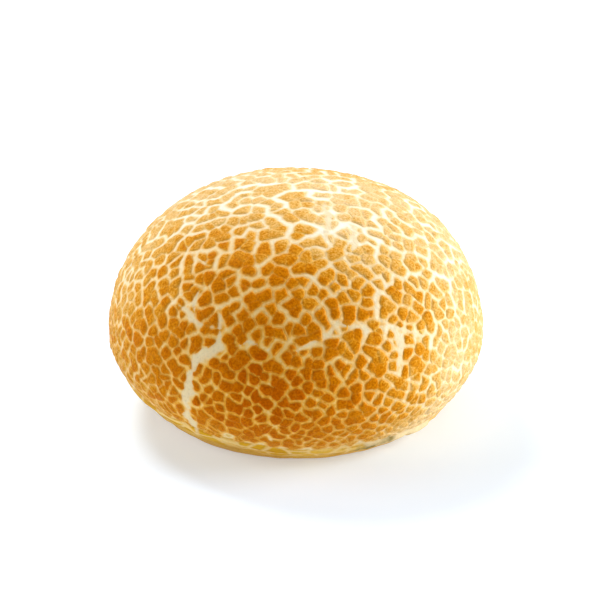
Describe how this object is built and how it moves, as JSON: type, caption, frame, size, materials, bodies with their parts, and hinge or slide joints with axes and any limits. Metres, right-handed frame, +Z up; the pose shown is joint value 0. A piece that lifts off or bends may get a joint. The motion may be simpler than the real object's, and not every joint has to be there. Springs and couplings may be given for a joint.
{
  "type": "tiger bread roll",
  "caption": "Round domed bread roll with a flat base, a smooth lip and a golden rice-paste crust cracked into raised plates over pale crumb.",
  "frame": {"origin": "on the floor under the middle of the roll, at the bottom centre of its bounding box", "axes": "+Z up through the crown; -Y is the side that faces the camera of the picture"},
  "size_m": [0.1086, 0.1082, 0.0667],
  "materials": {
    "crust": "baked rice-paste crust, golden brown, satin, finely grained",
    "crumb": "pale cream bread in the cracks, matt and granular"
  },
  "bodies": {
    "root": {"tiger_bread_roll": "crust"}
  },
  "joints": []
}
